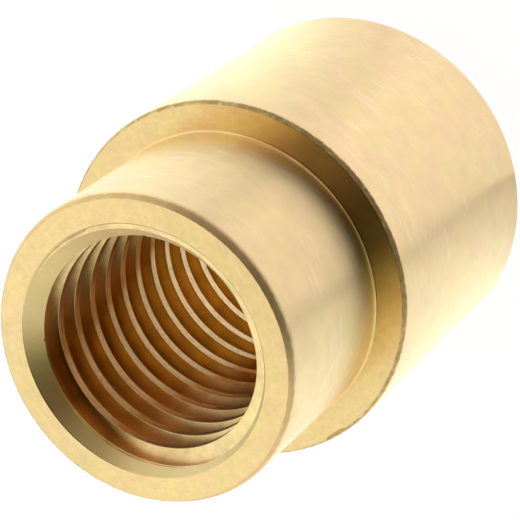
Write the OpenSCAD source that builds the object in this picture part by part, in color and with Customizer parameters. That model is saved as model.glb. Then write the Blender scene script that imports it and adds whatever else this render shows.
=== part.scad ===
// Lift spindle nut: a turned bronze nut with a trapezoidal thread, standing on
// its base with the narrower neck up. The axis is Z and the base lies on Z = 0.

/* [Body] */
// Diameter of the body
body_d = 60; // [54:1:80]
// Height of the body, from the base to the shoulder
body_h = 50; // [20:1:80]
// Height of the chamfer on the two rims of the body
body_chamfer_h = 1; // [0.4:0.1:2]
// Width of the chamfer on the two rims of the body
body_chamfer_w = 0.4; // [0.2:0.1:1]

/* [Neck] */
// Diameter of the neck
neck_d = 50; // [46:0.5:53]
// Height of the neck above the shoulder
neck_h = 30; // [10:1:50]
// Height of the chamfer on the upper rim of the neck
neck_chamfer_h = 1.3; // [0.4:0.1:2.5]
// Width of the chamfer on the upper rim of the neck
neck_chamfer_w = 0.65; // [0.2:0.05:1.5]
// Radius of the fillet between the neck and the shoulder
root_fillet = 0.4; // [0.2:0.1:1]

/* [Thread] */
// Nominal diameter of the trapezoidal thread
thread_d = 40; // [38:0.5:41]
// Pitch of the thread, which has one start and is right-handed
pitch = 5; // [4.5:0.5:8]
// Diameter of the bore at the crests of the thread
bore_d = 35; // [33:0.5:37]
// Play between the root of the thread and the nominal diameter
root_play = 0.25; // [0.1:0.05:0.5]
// Slope of each flank from the plane across the axis
flank_angle = 15; // [10:1:20]
// Width of the groove at its root
root_w = 2.05; // [1:0.05:2.5]
// Turn of the groove about the axis
thread_turn = 335; // [0:5:355]

/* [Mouths] */
// Diameter of the chamfer at each mouth of the bore, on the end face
mouth_d = 41.1; // [37:0.1:43]

/* [Hidden] */

// Facets of a round face, and steps of the groove in one turn
round_facets = 96;
groove_steps = 36;
// Sectors in which the bore is cut, so that no face of a land runs a whole turn
bore_sectors = 3;
// Angle at which the first sector starts, and by which one laps over the next
sector_start = 70;
sector_lap = 6;
// How far a cut runs past the face that it opens
overrun = 0.5;

total_h = body_h + neck_h;
body_r = body_d / 2;
neck_r = neck_d / 2;
bore_r = bore_d / 2;
mouth_r = mouth_d / 2;
mouth_depth = mouth_r - bore_r;
root_r = thread_d / 2 + root_play;
sector_angle = 360 / bore_sectors;

// The groove's section is a trapezoid whose narrow side is the root
groove_inner_r = bore_r - overrun;
groove_inner_w = root_w + 2 * (root_r - groove_inner_r) * tan(flank_angle);
groove_section = [
    [groove_inner_r, -groove_inner_w / 2],
    [root_r, -root_w / 2],
    [root_r, root_w / 2],
    [groove_inner_r, groove_inner_w / 2]
];
corners = len(groove_section);

// The groove starts one pitch below the base and ends above the neck
groove_rings = (ceil(total_h / pitch) + 2) * groove_steps;
step_angle = 360 / groove_steps;
step_rise = pitch / groove_steps;

// One corner of the section, after the given number of steps up the helix
function groove_point(ring, corner) =
    let (
        radius = groove_section[corner][0],
        turn = thread_turn + ring * step_angle,
        height = groove_section[corner][1] + ring * step_rise - pitch
    )
    [radius * cos(turn), radius * sin(turn), height];

// Place of a corner of a ring in the list of points
function ring_index(ring, corner) = ring * corners + corner % corners;

// The two triangles of one side between a ring and the next
function side_faces(ring, corner) = [
    [
        ring_index(ring, corner),
        ring_index(ring + 1, corner + 1),
        ring_index(ring + 1, corner)
    ],
    [
        ring_index(ring, corner),
        ring_index(ring, corner + 1),
        ring_index(ring + 1, corner + 1)
    ]
];

// The helical groove of the thread, as a closed solid to cut away
module thread_groove() {
    points = [
        for (ring = [0 : groove_rings], corner = [0 : corners - 1])
            groove_point(ring, corner)
    ];
    sides = [
        for (ring = [0 : groove_rings - 1], corner = [0 : corners - 1])
            each side_faces(ring, corner)
    ];
    lower_end = [for (corner = [corners - 1 : -1 : 0]) ring_index(0, corner)];
    upper_end = [for (corner = [0 : corners - 1]) ring_index(groove_rings, corner)];
    polyhedron(points, concat([lower_end, upper_end], sides), convexity = 10);
}

// One sector of the bore, right through the blank
module bore_sector() {
    translate([0, 0, -overrun])
        rotate_extrude(angle = sector_angle + sector_lap)
            square([bore_r, total_h + 2 * overrun]);
}

// The chamfer of a mouth of the bore, on an end face at Z = 0 that looks down
module mouth() {
    translate([0, 0, -overrun])
        cylinder(h = mouth_depth + 2 * overrun,
                 r1 = mouth_r + overrun, r2 = bore_r - overrun);
}

// Small fillet in the corner between the neck and the shoulder
module neck_root() {
    translate([neck_r, body_h])
        difference() {
            translate([-root_fillet, -root_fillet])
                square(2 * root_fillet);
            translate([root_fillet, root_fillet])
                circle(root_fillet);
        }
}

// Half section of the turned blank, chamfered at its rims
module blank_section() {
    polygon([
        [0, 0],
        [body_r - body_chamfer_w, 0],
        [body_r, body_chamfer_h],
        [body_r, body_h - body_chamfer_h],
        [body_r - body_chamfer_w, body_h],
        [neck_r, body_h],
        [neck_r, total_h - neck_chamfer_h],
        [neck_r - neck_chamfer_w, total_h],
        [0, total_h]
    ]);
    neck_root();
}

// The whole nut, turned from one bar, bored and threaded right through
module spindle_nut() {
    color("#d8b676")
        difference() {
            rotate_extrude($fn = round_facets) blank_section($fn = round_facets);
            for (sector = [0 : bore_sectors - 1])
                rotate(sector_start + sector * sector_angle)
                    bore_sector($fn = round_facets);
            mouth($fn = round_facets);
            translate([0, 0, total_h]) mirror([0, 0, 1]) mouth($fn = round_facets);
            thread_groove();
        }
}

spindle_nut();
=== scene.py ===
"""Looks of the lift spindle nut: a turned bronze nut with a trapezoidal thread."""

import math
from types import SimpleNamespace

import bpy
import numpy as np
from mathutils import Matrix, Vector


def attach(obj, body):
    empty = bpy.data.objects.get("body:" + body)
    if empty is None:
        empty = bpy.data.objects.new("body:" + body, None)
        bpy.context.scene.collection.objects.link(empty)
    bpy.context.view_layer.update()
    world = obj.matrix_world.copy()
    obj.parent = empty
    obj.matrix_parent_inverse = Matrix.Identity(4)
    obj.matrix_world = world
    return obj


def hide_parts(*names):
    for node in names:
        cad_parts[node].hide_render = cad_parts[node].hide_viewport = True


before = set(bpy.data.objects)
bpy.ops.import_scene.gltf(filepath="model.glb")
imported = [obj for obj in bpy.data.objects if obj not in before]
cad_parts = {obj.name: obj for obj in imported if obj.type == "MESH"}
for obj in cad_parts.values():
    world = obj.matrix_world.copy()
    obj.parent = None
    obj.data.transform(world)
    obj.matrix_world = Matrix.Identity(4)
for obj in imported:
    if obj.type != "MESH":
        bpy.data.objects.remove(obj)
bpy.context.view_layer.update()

# Sizes of the nut in millimetres, as in the CAD part
MM = 0.001
BODY_R, BODY_H = 30.0, 50.0
BODY_CHAMFER_H, BODY_CHAMFER_W = 1.0, 0.4
NECK_R, NECK_H = 25.0, 30.0
NECK_CHAMFER_H, NECK_CHAMFER_W = 1.3, 0.65
ROOT_FILLET = 0.4
TOTAL_H = BODY_H + NECK_H
BORE_R, ROOT_R, MOUTH_R = 17.5, 20.25, 20.55
PITCH, ROOT_W, FLANK = 5.0, 2.05, math.radians(15)
THREAD_TURN = math.radians(335)

# Setbacks of the rounded corners, and the points on one rounding
EDGE, MOUTH_EDGE, CREST_EDGE, GROOVE_EDGE = 0.10, 0.10, 0.09, 0.18
SOFT_BODY_EDGE, SOFT_NECK_EDGE = 0.45, 0.60
EDGE_POINTS, THREAD_EDGE_POINTS = 5, 3

# Columns round the axis, shortest steps along the sections, and the length of the cone
# that gives a mouth's edge its direction
COLUMNS = 224
OUTER_STEP, FLANK_STEP = 2.5, 0.9
CONE_RUN = 1.0

# Pitches of thread past the nut's height, and where the first one starts
SPARE_PITCHES, FIRST_PITCH = 3, -1


# The surface

def corner_arc(before, corner, after, setback, count):
    """Points and directions of the curve that rounds a corner: it leaves the line
    from `before` one setback short of the corner, joins the line to `after` one
    setback past it, and is the parabola whose control point is the corner."""
    u = (corner - before) / np.linalg.norm(corner - before)
    v = (after - corner) / np.linalg.norm(after - corner)
    t = np.linspace(0, 1, count)[:, None]
    start, end = corner - setback * u, corner + setback * v
    points = (1 - t) ** 2 * start + 2 * t * (1 - t) * corner + t ** 2 * end
    return points, (1 - t) * u + t * v


def run_between(start, end, step):
    """Points that divide a straight run evenly, without its ends, and the run's
    direction at each."""
    length = np.linalg.norm(end - start)
    parts = max(1, int(length // step))
    t = (np.arange(1, parts) / parts)[:, None]
    return start + t * (end - start), np.repeat([(end - start) / length], parts - 1, axis=0)


def outer_profile():
    """Section of the outside as rows of radius and height, and its directions. It runs
    from the lower mouth out over the base, up the body, in along the shoulder, up the
    neck and in to the upper mouth. Each corner is rounded, and each straight run is
    divided evenly."""
    corners = np.array([
        (MOUTH_R - CONE_RUN, CONE_RUN, 0),
        (MOUTH_R, 0, MOUTH_EDGE),
        (BODY_R - BODY_CHAMFER_W, 0, EDGE),
        (BODY_R, BODY_CHAMFER_H, EDGE),
        (BODY_R, BODY_H - BODY_CHAMFER_H, SOFT_BODY_EDGE),
        (BODY_R - BODY_CHAMFER_W, BODY_H, EDGE),
        (NECK_R, BODY_H, ROOT_FILLET),
        (NECK_R, TOTAL_H - NECK_CHAMFER_H, SOFT_NECK_EDGE),
        (NECK_R - NECK_CHAMFER_W, TOTAL_H, EDGE),
        (MOUTH_R, TOTAL_H, MOUTH_EDGE),
        (MOUTH_R - CONE_RUN, TOTAL_H - CONE_RUN, 0),
    ])
    points, setbacks = corners[:, :2], corners[:, 2]
    places, ways = [], []
    for k in range(1, len(corners) - 1):
        arc, way = corner_arc(*points[k - 1:k + 2], setbacks[k], EDGE_POINTS)
        if places:
            run, along = run_between(places[-1][-1], arc[0], OUTER_STEP)
            places.append(run)
            ways.append(along)
        places.append(arc)
        ways.append(way)
    return np.vstack(places), np.vstack(ways)


def thread_profile():
    """Section of one pitch of the thread as rows of height and radius, its directions
    and a mark that is 1 on the crest land. It has the root, the flanks at 15 degrees
    to the plane across the axis and the land, with the corners rounded, and runs
    from the middle of one groove to the next."""
    half = ROOT_W / 2
    crest = half + (ROOT_R - BORE_R) * math.tan(FLANK)
    middle, root = np.array([0, ROOT_R]), np.array([half, ROOT_R])
    land, top = np.array([crest, BORE_R]), np.array([PITCH / 2, BORE_R])
    at_root, root_way = corner_arc(middle, root, land, GROOVE_EDGE, THREAD_EDGE_POINTS)
    at_land, land_way = corner_arc(root, land, top, CREST_EDGE, THREAD_EDGE_POINTS)
    flank, flank_way = run_between(at_root[-1], at_land[0], FLANK_STEP)
    level = np.array([[1.0, 0.0]])
    rise = np.vstack([middle, at_root, flank, at_land, top])
    way = np.vstack([level, root_way, flank_way, land_way, level])
    # The land is the top and its corner's rounding, apart from the first point
    mark = np.zeros(len(rise))
    mark[-THREAD_EDGE_POINTS:] = 1
    # The second half mirrors the first, without its two ends
    fall = rise[-2:0:-1] * (-1, 1) + (PITCH, 0)
    return (np.vstack([rise, fall]), np.vstack([way, way[-2:0:-1] * (1, -1)]),
            np.concatenate([mark, mark[-2:0:-1]]))


def unit(vectors):
    """Vectors over their lengths."""
    return vectors / np.linalg.norm(vectors, axis=-1, keepdims=True)


def around(angle, out, side, up):
    """Vectors of the given outward, sideways and upward parts at each angle."""
    c, s = np.cos(angle), np.sin(angle)
    return np.stack(np.broadcast_arrays(out * c - side * s, out * s + side * c, up), -1)


def outside_grid(angle):
    """Points and normals of the outside: its section turned about the axis, so that
    each row is a ring."""
    profile, way = outer_profile()
    return (around(angle, profile[:, :1], 0, profile[:, 1:]),
            around(angle, way[:, 1:], 0, -way[:, :1]))


def mouth_radius(z):
    """Radius of the nearer mouth's 45 degree cone: its radius on the end face less the
    depth below that face."""
    return MOUTH_R - np.minimum(z, TOTAL_H - z)


def bore_grid(angle):
    """Points and normals of the bore by column and row, marks of the mouths' cones and
    the crest land, and the rows in one pitch. The bore is a helicoid: at angle a its
    section stands a / (2 pi) of a pitch higher, and its radius is the larger of the
    thread's and the mouth cone's. A row next to the line where these meet is moved
    onto it."""
    section, way, land = thread_profile()
    per_pitch = len(section)
    pitches = int(TOTAL_H / PITCH) + SPARE_PITCHES
    lift = np.repeat(np.arange(pitches) + FIRST_PITCH, per_pitch) * PITCH
    height = np.tile(section[:, 0], pitches) + lift
    radius = np.tile(section[:, 1], pitches)
    climb, widen = np.tile(way, (pitches, 1)).T
    turned = angle[:, None]
    z = height + PITCH * (turned - THREAD_TURN) / (2 * np.pi)
    cone = mouth_radius(z)
    excess = radius - cone
    r = np.maximum(radius, cone)
    on_cone = excess <= 0

    column, row = np.nonzero(excess[:, :-1] * excess[:, 1:] < 0)
    share = excess[column, row] / (excess[column, row] - excess[column, row + 1])
    near = row + (share >= 0.5)
    z[column, near] = z[column, row] + share * (z[column, row + 1] - z[column, row])
    r[column, near] = mouth_radius(z)[column, near]
    on_cone[column, near] = True

    helix = PITCH / (2 * np.pi)
    normals = around(turned, -r * climb, -helix * widen, r * widen)
    on_land = np.broadcast_to(np.tile(land, pitches), z.shape)
    return around(turned, r, 0, z), normals, on_cone, on_land, per_pitch


def nut_surface():
    """Closed surface of the nut: points, triangles, and the normals and marks of their
    corners. Rows of the bore past a mouth's edge close onto that edge. A triangle that
    lies wholly on a mouth's cone takes the cone's normals."""
    ring = np.arange(COLUMNS)
    angle = ring * (2 * np.pi / COLUMNS)
    outer, outer_normals = outside_grid(angle)
    bore, bore_normals, on_cone, on_land, per_pitch = bore_grid(angle)
    rows = len(outer)

    height = bore[..., 2]
    below, above = height <= outer[0, 0, 2], height >= outer[-1, 0, 2]
    kept = ~(below | above)
    index = np.where(below, ring[:, None], (rows - 1) * COLUMNS + ring[:, None])
    index[kept] = rows * COLUMNS + np.arange(kept.sum())

    step = np.arange(rows - 1)[:, None] * COLUMNS
    turn = (ring + 1) % COLUMNS
    outer_quads = np.stack([step + ring, step + turn,
                            step + COLUMNS + turn, step + COLUMNS + ring], -1)
    # One turn on, a row is the row one pitch higher of the first column
    last = np.append(index[0, per_pitch:], index[0, -per_pitch:])
    beside = np.vstack([index[1:], last])
    bore_quads = np.stack([index[:, :-1], index[:, 1:], beside[:, 1:], beside[:, :-1]], -1)
    quads = np.vstack([outer_quads.reshape(-1, 4), bore_quads.reshape(-1, 4)])
    triangles = np.vstack([quads[:, [0, 1, 2]], quads[:, [0, 2, 3]]])
    a, b, c = triangles.T
    triangles = triangles[(a != b) & (b != c) & (c != a)]

    vertices = np.vstack([outer.reshape(-1, 3), bore[kept]])
    normals = unit(np.vstack([outer_normals.reshape(-1, 3), bore_normals[kept]]))
    slope = np.where(vertices[:, 2] > TOTAL_H / 2, 1.0, -1.0)
    cone_normals = unit(around(np.arctan2(vertices[:, 1], vertices[:, 0]), -1, 0, slope))
    edge_rows = np.zeros((rows, COLUMNS), bool)
    edge_rows[[0, -1]] = True
    coned = np.concatenate([edge_rows.ravel(), on_cone[kept]])
    whole = coned[triangles].all(axis=1)
    corners = np.where(whole[:, None, None], cone_normals[triangles], normals[triangles])

    no_outer = np.zeros(rows * COLUMNS)
    off_cone = ~whole[:, None]
    marks = {
        "land": np.append(no_outer, on_land[kept])[triangles] * off_cone,
        "groove": np.append(no_outer, 1 - on_land[kept])[triangles] * off_cone,
        "mouth": np.repeat(whole[:, None], 3, axis=1),
    }
    return vertices * MM, triangles, corners, marks


def add_surface(name, vertices, triangles, corners, marks):
    """Object with the given triangles, their corners' normals and a float attribute
    for each mark."""
    mesh = bpy.data.meshes.new(name)
    mesh.vertices.add(len(vertices))
    mesh.vertices.foreach_set("co", vertices.astype(np.float32).ravel())
    mesh.loops.add(triangles.size)
    mesh.loops.foreach_set("vertex_index", triangles.astype(np.int32).ravel())
    mesh.polygons.add(len(triangles))
    mesh.polygons.foreach_set("loop_start", np.arange(0, triangles.size, 3, dtype=np.int32))
    mesh.polygons.foreach_set("use_smooth", np.ones(len(triangles), dtype=bool))
    mesh.update(calc_edges=True)
    for mark, values in marks.items():
        layer = mesh.attributes.new(mark, "FLOAT", "CORNER")
        layer.data.foreach_set("value", values.astype(np.float32).ravel())
    mesh.normals_split_custom_set(corners.reshape(-1, 3).astype(np.float32))
    piece = bpy.data.objects.new(name, mesh)
    bpy.context.scene.collection.objects.link(piece)
    return piece


# The materials

class Graph:
    """Short ways to add nodes to a material or a world. A value is a number or the
    output of another node."""

    def __init__(self, owner):
        owner.use_nodes = True
        self.nodes, self.links = owner.node_tree.nodes, owner.node_tree.links
        self.nodes.clear()

    def add(self, kind, inputs=(), **settings):
        made = self.nodes.new("ShaderNode" + kind)
        for name, value in settings.items():
            setattr(made, name, value)
        for socket, value in dict(inputs).items():
            self.put(made.inputs[socket], value)
        return made

    def put(self, socket, value):
        if isinstance(value, bpy.types.NodeSocket):
            self.links.new(value, socket)
        else:
            socket.default_value = value

    def math(self, operation, a, b=0.0, clamp=False):
        return self.add("Math", {0: a, 1: b}, operation=operation, use_clamp=clamp).outputs[0]

    def total(self, first, *others):
        for other in others:
            first = self.math("ADD", first, other)
        return first

    def product(self, first, *others):
        for other in others:
            first = self.math("MULTIPLY", first, other)
        return first

    def rest(self, share):
        """What a share leaves of one."""
        return self.math("SUBTRACT", 1.0, share)

    def noise(self, vector, scale, detail):
        made = self.add("TexNoise", {"Vector": vector, "Scale": scale, "Detail": detail})
        return made.outputs[0]

    def swing(self, noise, amount):
        """Noise as a swing about nought."""
        return self.product(self.math("SUBTRACT", noise, 0.5), amount)

    def span(self, value, low, high, to_low=0.0, to_high=1.0):
        """A smooth step from one level at the low end to another at the high end."""
        made = self.add("MapRange", {"Value": value, "From Min": low, "From Max": high,
                                     "To Min": to_low, "To Max": to_high},
                        interpolation_type="SMOOTHSTEP")
        return made.outputs[0]

    def curve(self, value, ends, stops):
        """A level that runs straight from each stop to the next, between two ends of
        the value. A stop is a value and its level."""
        low, high = ends
        top = max(level for place, level in stops)
        share = self.add("MapRange", {"Value": value, "From Min": low, "From Max": high})
        made = self.add("ValToRGB", {0: share.outputs[0]})
        elements = made.color_ramp.elements
        while len(elements) < len(stops):
            elements.new(0.5)
        for element, (place, level) in zip(elements, stops):
            element.position = (place - low) / (high - low)
            element.color = (level / top, level / top, level / top, 1)
        part = self.add("SeparateColor", {0: made.outputs[0]}).outputs[0]
        return self.product(part, top)

    def blend(self, share, first, second, mode="MIX"):
        made = self.add("Mix", data_type="RGBA", blend_type=mode)
        self.put(made.inputs["Factor"], share)
        colours = [s for s in made.inputs if s.type == "RGBA"]
        self.put(colours[0], first)
        self.put(colours[1], second)
        return next(s for s in made.outputs if s.type == "RGBA")

    def tint(self, share, colour, tint):
        """A colour, multiplied by a tint in the given share."""
        return self.blend(share, colour, tint, "MULTIPLY")


# Colours of the bronze, and tints that multiply them
PINK_BRONZE, GREEN_BRONZE = (0.898, 0.652, 0.364, 1), (0.885, 0.674, 0.346, 1)
SCUFF_COLOUR, SCUFF_SHARE = (1.0, 0.88, 0.62, 1), 0.30
# The level faces' tint is painted light: it warms them as light from above would
FACE_WARM_LIGHT_TINT, MOUTH_TINT = (1, 1.03, 0.91, 1), (0.99, 1.06, 0.95, 1)
NECK_RIM_TINT, BODY_RIM_TINT = (0.94, 0.89, 0.78, 1), (0.62, 0.58, 0.44, 1)
# The undersides' tint is painted shade: a dark brown for the shade inside the thread's grooves
LAND_TINT, UNDERSIDE_SHADE_TINT = (0.98, 0.91, 0.86, 1), (0.55, 0.31, 0.09, 1)

# Upward part of the normal, from where a face begins to count to where it counts in full
LEVEL_FACE, UNDERSIDE = (0.80, 0.97), (-0.4, -0.8)

# Values of a noise, from where its pattern begins to where it is full
PATCHED, SCUFFED, CLOUDED = (0.35, 0.65), (0.52, 0.72), (0.47, 0.60)
BLOTTED, PIT_EDGE = (0.54, 0.64), (0.05, 0.11)

# How far the patterns swing the shade, with what groove and land add, and how dark pits are
CLOUDY_SHADE, BLOT_SHADE, GROOVE_BLOT_SHADE = 0.07, 0.20, 0.60
FINE_SHADE, LAND_FINE_SHADE, MOTTLE_SHADE = 0.05, 0.75, 0.24
PIT_SHADE = 0.45

# Worn rims in millimetres, from where they begin to where they are full: inwards of the
# outside and below the top. Their borders are ragged, and a nick widens the shoulder's.
NECK_RIM_W, NECK_RIM_H = (0.90, 0.55), (1.25, 0.75)
BODY_RIM_W, BODY_RIM_H = (0.62, 0.32), (1.05, 0.65)
GRAIN_RAG, MOTTLE_RAG = 0.35, 0.45
LEAST_AND_MOST_WORN = (0.55, 1.15)
NICK, NICK_REACH, NICK_W = (-29.4, 2.1, BODY_H), (0.8, 2.6), 0.5

# Roughness of the bronze and what its parts add, the depth of its marks in millimetres,
# and the turn of its gloss, as a share of a full turn
ROUGH, CLOUDY_ROUGH, RIM_ROUGH = 0.24, 0.05, 0.26
FACE_ROUGH, MOUTH_ROUGH, GROOVE_ROUGH = -0.09, 0.13, 0.04
BUMP_STRENGTH, BUMP_DEPTH = 0.06, 0.02
QUARTER_TURN = 0.25


def bronze_patterns(g):
    """Places in millimetres, marks and noises that the finish is mixed from. Streaks
    run round the axis: their noise is read at the direction from the axis and, more
    closely, at the place along the section, which is the height less the radius."""
    coordinates = g.add("TexCoord").outputs
    point = g.add("VectorMath", {0: coordinates["Object"], "Scale": 1 / MM},
                  operation="SCALE").outputs[0]
    x, y, z = g.add("SeparateXYZ", {0: point}).outputs
    flat = g.add("CombineXYZ", {0: x, 1: y}).outputs[0]
    radius = g.add("VectorMath", {0: flat}, operation="LENGTH").outputs["Value"]
    compass = g.add("VectorMath", {0: flat}, operation="NORMALIZE").outputs[0]
    along = g.math("SUBTRACT", z, radius)
    upright = g.add("SeparateXYZ", {0: coordinates["Normal"]}).outputs[2]

    def streaks(per_turn, per_mm):
        spread = g.add("VectorMath", {0: compass, "Scale": per_turn}, operation="SCALE")
        rows = g.add("CombineXYZ", {2: g.product(along, per_mm)}).outputs[0]
        both = g.add("VectorMath", {0: spread.outputs[0], 1: rows}, operation="ADD")
        return g.noise(both.outputs[0], scale=1.0, detail=3.0)

    marks = {name: g.add("Attribute", attribute_name=name).outputs["Fac"]
             for name in ("land", "groove", "mouth")}
    return SimpleNamespace(
        **marks, point=point, radius=radius, z=z, upright=upright,
        level_face=g.span(g.math("ABSOLUTE", upright), *LEVEL_FACE),
        turning=streaks(per_turn=2.5, per_mm=5.0),
        cloudy=streaks(per_turn=7.0, per_mm=0.8),
        scuffed=streaks(per_turn=6.0, per_mm=1.3),
        clouds=g.noise(point, scale=0.09, detail=2.0),
        patches=g.noise(point, scale=0.16, detail=3.0),
        blots=g.noise(point, scale=0.30, detail=4.0),
        mottle=g.noise(point, scale=0.90, detail=3.0),
        grain=g.noise(point, scale=2.2, detail=2.0),
        pits=g.add("TexVoronoi", {"Vector": point, "Scale": 0.7}).outputs["Distance"])


def worn_rims(g, p):
    """Shares of wear on the upper rims of the neck and the body: each is a share across
    the rim times a share down it."""
    ragged = g.total(g.swing(p.grain, GRAIN_RAG), g.swing(p.mottle, MOTTLE_RAG))
    from_nick = g.add("VectorMath", {0: p.point, 1: NICK}, operation="DISTANCE")
    nick = g.span(from_nick.outputs["Value"], *NICK_REACH, NICK_W, 0.0)
    edge = g.total(p.radius, ragged, nick)
    drop = g.total(p.z, ragged)

    def rim(outside, width, top, height):
        across = g.span(edge, outside - width[0], outside - width[1])
        down = g.span(drop, top - height[0], top - height[1])
        return g.product(across, down)

    return (rim(NECK_R, NECK_RIM_W, TOTAL_H, NECK_RIM_H),
            rim(BODY_R, BODY_RIM_W, BODY_H, BODY_RIM_H))


def bronze_shade(g, p):
    """Lightness of the finish: one plus the swings of its patterns, less the pits, which
    lie in blots on the outside."""
    fine = g.total(FINE_SHADE, g.product(p.land, LAND_FINE_SHADE))
    blotted = g.total(BLOT_SHADE, g.product(p.groove, GROOVE_BLOT_SHADE))
    shade = g.total(1.0, g.swing(p.cloudy, CLOUDY_SHADE), g.swing(p.blots, blotted),
                    g.swing(p.turning, fine), g.swing(p.grain, fine),
                    g.product(g.swing(p.mottle, MOTTLE_SHADE), p.level_face))
    outside = g.math("SUBTRACT", 1.0, g.total(p.land, p.groove), clamp=True)
    pitted = g.product(g.span(p.pits, *PIT_EDGE, PIT_SHADE, 0.0),
                       g.span(p.blots, *BLOTTED), outside)
    return g.product(shade, g.rest(pitted))


def bronze_colour(g, p, neck_rim, body_rim):
    """Pink and green patches, shaded, with thin bright scuffs in some places. Tints lie on
    the mouths' cones, worn rims and crest lands; a warmer tint on level faces is painted
    light from above, and a dark brown on the thread's undersides is painted groove shade."""
    colour = g.blend(g.span(p.patches, *PATCHED), PINK_BRONZE, GREEN_BRONZE)
    # Painted light: level faces are warmed as by light falling from above
    colour = g.tint(p.level_face, colour, FACE_WARM_LIGHT_TINT)
    colour = g.tint(p.mouth, colour, MOUTH_TINT)
    shade = bronze_shade(g, p)
    tone = g.add("CombineColor", {0: shade, 1: shade, 2: shade}).outputs[0]
    colour = g.tint(1.0, colour, tone)
    scuffs = g.product(g.span(p.scuffed, *SCUFFED), g.span(p.clouds, *CLOUDED), SCUFF_SHARE)
    colour = g.blend(scuffs, colour, SCUFF_COLOUR)
    uneven = g.span(p.mottle, *PATCHED, *LEAST_AND_MOST_WORN)
    colour = g.tint(g.product(neck_rim, uneven), colour, NECK_RIM_TINT)
    colour = g.tint(g.product(body_rim, uneven), colour, BODY_RIM_TINT)
    colour = g.tint(p.land, colour, LAND_TINT)
    # Painted shade: the thread's downward flanks are darkened to brown where the grooves shade
    # them
    shaded_underside = g.product(p.groove, g.span(p.upright, *UNDERSIDE))
    return g.tint(shaded_underside, colour, UNDERSIDE_SHADE_TINT)


def bronze():
    """Turned bronze, a metal whose gloss is drawn out across its turning marks."""
    material = bpy.data.materials.new("bronze")
    g = Graph(material)
    p = bronze_patterns(g)
    neck_rim, body_rim = worn_rims(g, p)
    rims = g.math("MAXIMUM", neck_rim, body_rim)
    rough = g.total(ROUGH, g.swing(p.cloudy, CLOUDY_ROUGH), g.product(rims, RIM_ROUGH),
                    g.product(p.level_face, FACE_ROUGH), g.product(p.mouth, MOUTH_ROUGH),
                    g.product(p.groove, GROOVE_ROUGH))
    height = g.product(g.total(p.turning, p.mottle), 0.5)
    bump = g.add("Bump", {"Strength": BUMP_STRENGTH, "Distance": BUMP_DEPTH * MM,
                          "Height": height})
    tangent = g.add("Tangent", direction_type="RADIAL", axis="Z").outputs[0]
    shader = g.add("BsdfPrincipled", {
        "Base Color": bronze_colour(g, p, neck_rim, body_rim), "Metallic": 1.0,
        "Roughness": rough, "Anisotropic": 1.0, "Anisotropic Rotation": QUARTER_TURN,
        "Tangent": tangent, "Normal": bump.outputs[0]})
    g.add("OutputMaterial", {"Surface": shader.outputs[0]})
    return material


# Levels of the floor in the metal, where 1 is white: by the bearing in degrees from the
# camera's side, across the seam of two panels, and what is added close by the nut. The
# place across the seam is x less y, less the seam's own, in millimetres.
ALL_ROUND, SEAM_ENDS, SEAM = (-180, 180), (-50, 40), 11.0
LEVEL_ROUND = [
    (-180, 1.05), (-155, 1.05), (-132, 1.28), (-110, 1.28), (-90, 1.24), (-75, 1.16),
    (-60, 1.07), (-45, 1.18), (0, 1.18), (20, 1.22), (38, 1.07), (52, 1.18), (75, 1.24),
    (95, 1.36), (132, 1.42), (155, 1.05), (180, 1.05)]
LEVEL_ACROSS = [
    (-50, 1.0), (-31, 0.99), (-19, 0.89), (-8, 0.75), (-1.2, 0.63), (0.3, 0.85), (7, 0.90),
    (16, 0.94), (38, 1.0)]
LEVEL_CLOSE_BY = [
    (-155, 0.0), (-132, 0.70), (-115, 0.68), (-97, 0.54), (-80, 0.38), (-62, 0.26),
    (-48, 0.02), (55, 0.0), (63, 0.14), (78, 0.38), (90, 0.54), (104, 0.68), (132, 0.70),
    (155, 0.0)]
LEVEL_TRIM = -0.05

# Distances from the axis over which the floor changes, the bearings that go with them, the
# share by which it dims far off in front and its level under the bore
CLOSE_REACH, FAR_REACH, BORE_REACH = (46 * MM, 60 * MM), (115 * MM, 190 * MM), (22 * MM, 30 * MM)
FRONT_BEARING, FAR_DIM, BORE_LEVEL = (40, 75), 0.75, 1.15
SIDE_BEARING, SIDE_LIGHT, FRONT_LIGHT = (35, 70), (0.95, 1.02, 1.0, 1), (1, 1, 1, 1)

# Own light of the floor in the camera, the grey on which the shadow lies there, the grey
# that other rays see, and half of the floor's width in metres
CAMERA_LEVEL = 0.94
SHADOW_GREY, PLAIN_GREY = (0.14, 0.14, 0.14, 1), (0.8, 0.8, 0.8, 1)
FLOOR_HALF = 4.0


def floor_in_metal(g):
    """Level of the floor's light as the metal sees it, and the share of its side tint.
    The level round the nut times the level across the seam, plus what is added close
    by, dims far off in front and is even under the bore."""
    spot = g.add("TexCoord").outputs["Object"]
    x, y = g.add("SeparateXYZ", {0: spot}).outputs[:2]
    reach = g.add("VectorMath", {0: spot}, operation="LENGTH").outputs["Value"]
    bearing = g.math("DEGREES", g.math("ARCTAN2", x, g.product(y, -1.0)))
    aside = g.math("ABSOLUTE", bearing)
    across = g.math("SUBTRACT", g.math("DIVIDE", g.math("SUBTRACT", x, y), MM), SEAM)
    panels = g.product(g.curve(bearing, ALL_ROUND, LEVEL_ROUND),
                       g.curve(across, SEAM_ENDS, LEVEL_ACROSS))
    close_by = g.product(g.curve(bearing, ALL_ROUND, LEVEL_CLOSE_BY),
                         g.span(reach, *CLOSE_REACH, 1.0, 0.0))
    far = g.product(g.span(aside, *FRONT_BEARING, FAR_DIM, 0.0), g.span(reach, *FAR_REACH))
    level = g.product(g.total(panels, close_by, LEVEL_TRIM), g.rest(far))
    outside = g.span(reach, *BORE_REACH)
    level = g.total(g.product(level, outside), g.product(g.rest(outside), BORE_LEVEL))
    return level, g.span(aside, *SIDE_BEARING)


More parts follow.
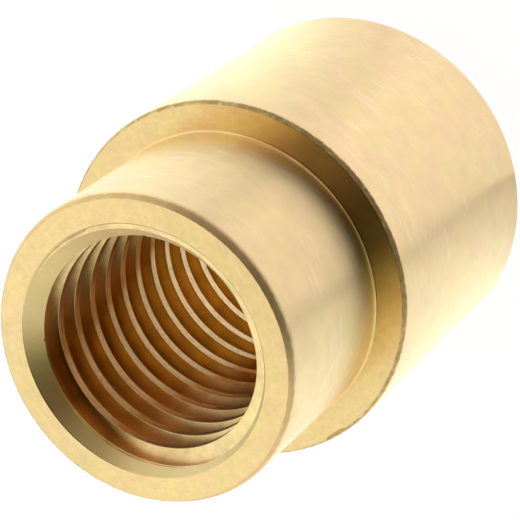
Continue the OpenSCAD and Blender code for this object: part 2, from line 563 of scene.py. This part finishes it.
def white_floor():
    """Plain white floor. Rays from the camera and from the metal see it lit by itself,
    with the object's shadow laid over it. The metal sees it as two light panels that
    meet along a line beside the nut, brightest on both sides of the nut, towards the
    back."""
    material = bpy.data.materials.new("white_floor")
    g = Graph(material)
    path = g.add("LightPath").outputs
    glossy = g.math("MAXIMUM", path["Is Glossy Ray"], path["Is Transmission Ray"])
    seen = g.math("MAXIMUM", path["Is Camera Ray"], glossy)
    level, sides = floor_in_metal(g)
    strength = g.total(g.product(level, glossy), g.product(g.rest(glossy), CAMERA_LEVEL))
    colour = g.blend(g.product(glossy, sides), FRONT_LIGHT, SIDE_LIGHT)
    glow = g.add("Emission", {"Color": colour, "Strength": strength})
    faint = g.add("BsdfDiffuse", {"Color": SHADOW_GREY})
    both = g.add("AddShader", {0: faint.outputs[0], 1: glow.outputs[0]})
    plain = g.add("BsdfDiffuse", {"Color": PLAIN_GREY})
    mixed = g.add("MixShader", {0: seen, 1: plain.outputs[0], 2: both.outputs[0]})
    g.add("OutputMaterial", {"Surface": mixed.outputs[0]})
    return material


# The stage

# The room's dark part: the climb of its middle and its spread, in degrees from the horizon
# on the camera's side up over the nut, the stretch of the climb below the middle, how far
# the middle lies towards -X, the half width, and the lean of the lower half towards -X
DARK_CLIMB, CLIMB_SPREAD, UNDER_STRETCH = 65.0, 45.0, 1.15
DARK_OFFSET, DARK_HALF_WIDTH = 0.05, 0.55
LEAN_FROM, LEAN = (-0.3, -0.8), 0.24
AWAY_ENDS = (0.0, 1.5)
LEVEL_AWAY = [
    (0.0, 0.0), (0.65, 0.002), (0.82, 0.03), (0.90, 0.11), (1.0, 0.33), (1.12, 0.66),
    (1.25, 0.96), (1.35, 1.0)]

# Other changes in the room's level: dimmer low in front and high towards -X, brighter
# behind the nut and far out on both sides
LOW_FRONT, LOW_HEIGHT, LOW_DIM = (0.25, 0.60), (0.25, 0.45), 0.6
SIDE_X, SIDE_HEIGHT, SIDE_DIM = (-0.60, 0.0), (0.45, 0.75), 0.16
BEHIND_CLIMB, BEHIND_LEVEL = (118.0, 134.0), (0.93, 1.12)
OUT_X, OUT_LEVEL = (0.6, 0.9), (1.0, 1.2)

# Powers of the level in red, green and blue, which make half-dark places brown, and the
# shares of green and blue in full light
RED_POWER, BROWN_X, GREEN_POWER, BLUE_POWER = 0.9, (-0.5, -0.1), (0.86, 1.15), (1.15, 1.5)
GREEN_SHARE, BLUE_SHARE = 0.985, 0.93


def soft_room():
    """White room light with one dark part, above the camera's side. How far away a
    direction is from the middle of that part is the root of a sum: the climb past the
    middle, cubed above it and squared below it, and the square of the way sideways.
    Half-dark places are brown, and less so towards -X."""
    world = bpy.data.worlds.new("soft_room")
    bpy.context.scene.world = world
    g = Graph(world)
    x, y, z = g.add("SeparateXYZ", {0: g.add("TexCoord").outputs["Generated"]}).outputs
    front = g.product(y, -1.0)
    climb = g.math("DEGREES", g.math("ARCTAN2", z, front))
    tall = g.math("DIVIDE", g.math("SUBTRACT", climb, DARK_CLIMB), CLIMB_SPREAD)
    over = g.math("POWER", g.math("MAXIMUM", tall, 0.0), 3.0)
    under = g.math("POWER", g.math("MAXIMUM", g.product(tall, -UNDER_STRETCH), 0.0), 2.0)
    lean = g.span(tall, *LEAN_FROM, 0.0, LEAN)
    wide = g.math("DIVIDE", g.total(x, DARK_OFFSET, lean), DARK_HALF_WIDTH)
    wide = g.math("POWER", g.math("ABSOLUTE", wide), 2.0)
    away = g.math("SQRT", g.total(over, under, wide))
    low = g.product(g.span(front, *LOW_FRONT), g.span(z, *LOW_HEIGHT, LOW_DIM, 0.0))
    side = g.product(g.span(x, *SIDE_X, SIDE_DIM, 0.0), g.span(z, *SIDE_HEIGHT))
    level = g.product(g.curve(away, AWAY_ENDS, LEVEL_AWAY),
                      g.math("SUBTRACT", g.rest(low), side),
                      g.span(climb, *BEHIND_CLIMB, *BEHIND_LEVEL),
                      g.span(g.math("ABSOLUTE", x), *OUT_X, *OUT_LEVEL))
    green = g.math("POWER", level, g.span(x, *BROWN_X, *GREEN_POWER))
    blue = g.math("POWER", level, g.span(x, *BROWN_X, *BLUE_POWER))
    colour = g.add("CombineColor", {0: g.math("POWER", level, RED_POWER),
                                    1: g.product(green, GREEN_SHARE),
                                    2: g.product(blue, BLUE_SHARE)})
    light = g.add("Background", {"Color": colour.outputs[0], "Strength": 1.0})
    g.add("OutputWorld", {"Surface": light.outputs[0]})


def add_floor():
    """Square floor at the height of the base."""
    mesh = bpy.data.meshes.new("floor")
    s = FLOOR_HALF
    mesh.from_pydata([(-s, -s, 0), (s, -s, 0), (s, s, 0), (-s, s, 0)], [], [(0, 1, 2, 3)])
    floor = bpy.data.objects.new("floor", mesh)
    bpy.context.scene.collection.objects.link(floor)
    mesh.materials.append(white_floor())
    return floor


# The photograph's camera, with its lengths in millimetres, and its clipping range in metres
SENSOR_W, LENS = 36, 180.3
AIM, DISTANCE = Vector((-0.083, 0, 39.483)), 422.29
ELEVATION, ROLL = math.radians(56.375), math.radians(-128.17)
CLIP_START, CLIP_END = 0.01, 20


def add_camera():
    """The photograph's camera: it looks down on the neck at 33.6 degrees to the
    axis, and is turned about its own line of sight."""
    data = bpy.data.cameras.new("photo_camera")
    data.sensor_width, data.lens = SENSOR_W, LENS
    data.clip_start, data.clip_end = CLIP_START, CLIP_END
    camera = bpy.data.objects.new("photo_camera", data)
    bpy.context.scene.collection.objects.link(camera)
    back = Vector((0, -math.cos(ELEVATION), math.sin(ELEVATION)))
    upright = (-back).to_track_quat("-Z", "Y").to_matrix().to_4x4()
    roll = Matrix.Rotation(ROLL, 4, "Z")
    camera.matrix_world = Matrix.Translation((AIM + DISTANCE * back) * MM) @ upright @ roll
    bpy.context.scene.camera = camera


nut = add_surface("lift_spindle_nut", *nut_surface())
nut.data.materials.append(bronze())
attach(nut, "root")
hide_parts("spindle_nut")

add_floor()
soft_room()
add_camera()
bpy.context.scene.view_settings.view_transform = "Standard"
